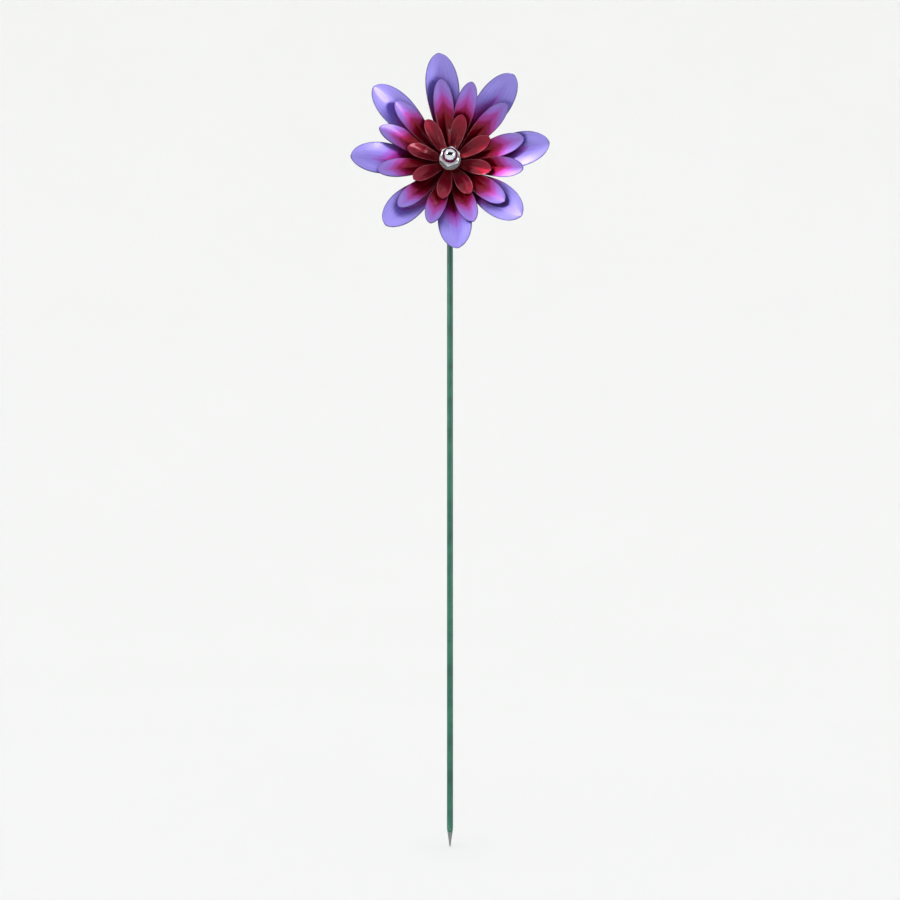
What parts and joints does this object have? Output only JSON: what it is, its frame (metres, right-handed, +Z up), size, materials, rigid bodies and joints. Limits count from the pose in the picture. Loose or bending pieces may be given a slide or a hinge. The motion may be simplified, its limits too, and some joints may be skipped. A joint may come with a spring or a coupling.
{
  "type": "flower pinwheel stake",
  "caption": "Flower-shaped wind spinner: cupped painted-metal petals in stacked layers turn on a screw axle at the head of a thin garden stake.",
  "frame": {"origin": "on the stake's axis at the soil line, 70 mm above the stake's point", "axes": "+Z up the stake, -Y the way the flower faces along its axle, +X to the right seen from in front"},
  "size_m": [0.1012, 0.053, 0.4062],
  "materials": {
    "green_coat": "satin green powder coat on steel wire",
    "zinc": "bright zinc plate",
    "chrome": "polished chrome plate",
    "nylon": "natural nylon",
    "violet_petal": "translucent violet lacquer on bright steel, fading to dark red at the root",
    "magenta_petal": "translucent magenta lacquer on bright steel, fading to dark red at the root",
    "red_petal": "translucent dark red lacquer on bright steel"
  },
  "bodies": {
    "stake": {"stake_rod": "green_coat", "head_tube": "green_coat", "weld_fillet": "green_coat", "axle_screw": "zinc", "rear_washer": "zinc", "spring_washer": "zinc", "lock_nut": "zinc", "thrust_washer": "zinc", "rear_glide_washer": "nylon", "front_glide_washer": "nylon", "cap_washer": "zinc", "cap_nut": "chrome"},
    "flower": {"bush": "nylon", "rear_petals": "violet_petal", "rear_spacer": "red_petal", "middle_petals": "magenta_petal", "front_spacer": "red_petal", "front_petals": "red_petal", "bush_collar": "zinc"}
  },
  "joints": [
    {"name": "flower_spin", "type": "hinge", "parent": "stake", "child": "flower", "pos_m": [0, -0.018, 0.2856], "axis": [0, -1, 0], "continuous": true}
  ]
}
